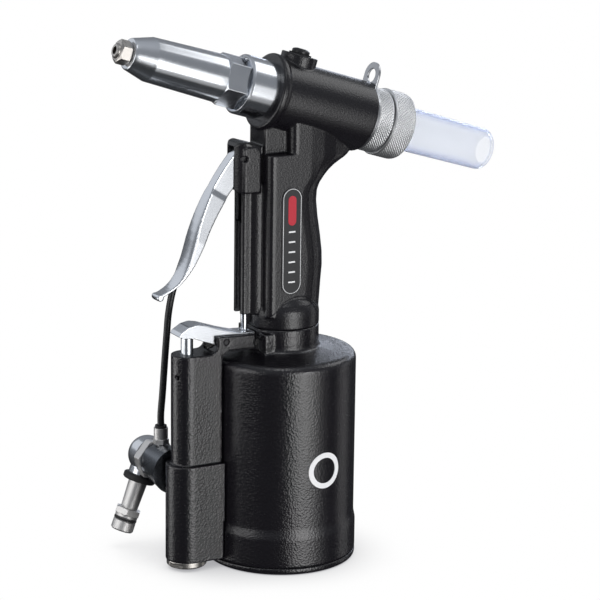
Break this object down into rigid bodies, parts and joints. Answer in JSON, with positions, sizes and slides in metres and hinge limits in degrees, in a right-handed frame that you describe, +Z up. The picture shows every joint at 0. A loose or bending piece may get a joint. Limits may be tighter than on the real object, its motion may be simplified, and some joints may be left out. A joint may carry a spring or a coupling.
{
  "type": "pneumatic rivet gun",
  "caption": "Air-hydraulic blind rivet gun: tilted chrome nose on a black pistol grip, air cylinder base, trigger linkage, valve column and swivelling inlet.",
  "frame": {"origin": "centre of the base face, on the air cylinder's axis", "axes": "+Z up along the air cylinder, -X towards the nose, +Y towards the air inlet side"},
  "size_m": [0.2433, 0.1016, 0.3076],
  "materials": {
    "chrome": "polished chrome plate",
    "nickel": "satin nickel plate",
    "satin_nickel": "bead blasted nickel plate",
    "steel": "machined steel",
    "black_head": "fine textured black powder coat",
    "black_cylinder": "pebbled black powder coat",
    "black_screw": "black oxide",
    "knurled_alloy": "diamond knurled, satin",
    "brass": "machined",
    "rubber": "matte black",
    "clear_bottle": "clear bluish plastic",
    "badge": "black label with a thin light border",
    "badge_mark": "red print",
    "print_white": "white print",
    "gunmetal": "dark plated steel",
    "line_nylon": "smooth black nylon"
  },
  "bodies": {
    "housing": {"nosepiece": "nickel", "nose_sleeve": "chrome", "lock_nut": "chrome", "head_collar": "chrome", "rod_seal": "rubber", "handle_body": "black_head", "oil_plug_screw": "black_screw", "oil_plug_washer": "rubber", "hanger_plate": "steel", "rear_cap": "knurled_alloy", "mandrel_tube": "steel", "draw_return_spring": "steel", "grip_badge": "badge", "trigger_pin": "black_screw", "rocker_pin": "black_screw", "air_cylinder": "black_cylinder", "base_cap": "black_cylinder", "base_seal": "rubber", "ram_gland": "steel", "ram_seal": "rubber", "piston_bumper": "rubber", "valve_housing": "black_cylinder", "housing_screws": "steel", "valve_spring": "steel", "valve_plug": "nickel", "inlet_adapter": "gunmetal", "inlet_hex": "satin_nickel", "line_fitting_lower": "satin_nickel", "line_fitting_upper": "satin_nickel", "line_collets": "rubber", "air_line": "line_nylon"},
    "trigger": {"trigger": "chrome"},
    "pull_rod": {"pull_rod": "chrome", "pull_rod_pin": "steel", "pull_rod_nut": "steel"},
    "rocker": {"rocker": "chrome"},
    "valve": {"valve_stem": "chrome", "valve_spool": "brass", "valve_seals": "rubber"},
    "ram": {"air_piston": "knurled_alloy", "air_piston_seal": "rubber", "ram_rod": "chrome", "ram_nut": "steel"},
    "puller": {"draw_piston": "steel", "draw_piston_seal": "rubber", "jaw_case": "steel", "jaw_spring": "steel"},
    "jaw_pusher": {"jaw_pusher": "steel"},
    "jaw_1": {"jaw_1": "steel"},
    "jaw_2": {"jaw_2": "steel"},
    "jaw_3": {"jaw_3": "steel"},
    "collector": {"collector_nut": "knurled_alloy", "mandrel_bottle": "clear_bottle"},
    "swivel": {"swivel_body": "chrome", "swivel_seal": "rubber", "swivel_washer": "rubber", "inlet_stem": "satin_nickel", "coupler_plug": "satin_nickel", "coupler_seal": "rubber"}
  },
  "joints": [
    {"name": "trigger_squeeze", "type": "hinge", "parent": "housing", "child": "trigger", "pos_m": [-0.0292, 0, 0.2372], "axis": [0, -1, 0], "range_deg": [0, 22], "stiffness_Nm_per_rad": 0.25, "springref_deg": -17.19},
    {"name": "pull_rod_lift", "type": "slide", "parent": "housing", "child": "pull_rod", "axis": [0, 0, 1], "range_m": [0, 0.0018]},
    {"name": "rocker_tilt", "type": "hinge", "parent": "housing", "child": "rocker", "pos_m": [-0.04, 0, 0.133], "axis": [0, -1, 0], "range_deg": [0, 6.6]},
    {"name": "valve_push", "type": "slide", "parent": "housing", "child": "valve", "axis": [0, 0, -1], "range_m": [0, 0.0024], "stiffness_N_per_m": 150, "springref_m": -0.006, "deforming": ["valve_spring"]},
    {"name": "ram_stroke", "type": "slide", "parent": "housing", "child": "ram", "axis": [0, 0, 1], "range_m": [0, 0.075]},
    {"name": "puller_stroke", "type": "slide", "parent": "housing", "child": "puller", "axis": [0.9555, 0, -0.295], "range_m": [0, 0.01501], "stiffness_N_per_m": 60, "springref_m": -0.05, "deforming": ["draw_return_spring"]},
    {"name": "jaw_pusher_follow", "type": "slide", "parent": "puller", "child": "jaw_pusher", "axis": [-0.9555, 0, 0.295], "range_m": [0, 0.0015], "deforming": ["jaw_spring"]},
    {"name": "jaw_1_close", "type": "slide", "parent": "puller", "child": "jaw_1", "axis": [-0.8704, 0, 0.4924], "range_m": [0, 0.0015]},
    {"name": "jaw_2_close", "type": "slide", "parent": "puller", "child": "jaw_2", "axis": [-0.9649, -0.1851, 0.1861], "range_m": [0, 0.0015]},
    {"name": "jaw_3_close", "type": "slide", "parent": "puller", "child": "jaw_3", "axis": [-0.9649, 0.1851, 0.1861], "range_m": [0, 0.0015]},
    {"name": "collector_off", "type": "slide", "parent": "housing", "child": "collector", "axis": [0.9555, 0, -0.295], "range_m": [0, 0.014]},
    {"name": "inlet_swivel", "type": "hinge", "parent": "housing", "child": "swivel", "pos_m": [-0.0625, 0.048, 0.0542], "axis": [0, 1, 0], "continuous": true}
  ],
  "couplings": [
    {"joint": "pull_rod_lift", "follows": "trigger_squeeze", "m_per_rad": 0.004488},
    {"joint": "rocker_tilt", "follows": "trigger_squeeze", "ratio": 0.29203},
    {"joint": "valve_push", "follows": "trigger_squeeze", "m_per_rad": 0.006061},
    {"joint": "puller_stroke", "follows": "ram_stroke", "ratio": 0.2},
    {"joint": "jaw_pusher_follow", "follows": "ram_stroke", "ratio": 0.02},
    {"joint": "jaw_1_close", "follows": "ram_stroke", "ratio": 0.02},
    {"joint": "jaw_2_close", "follows": "ram_stroke", "ratio": 0.02},
    {"joint": "jaw_3_close", "follows": "ram_stroke", "ratio": 0.02}
  ]
}
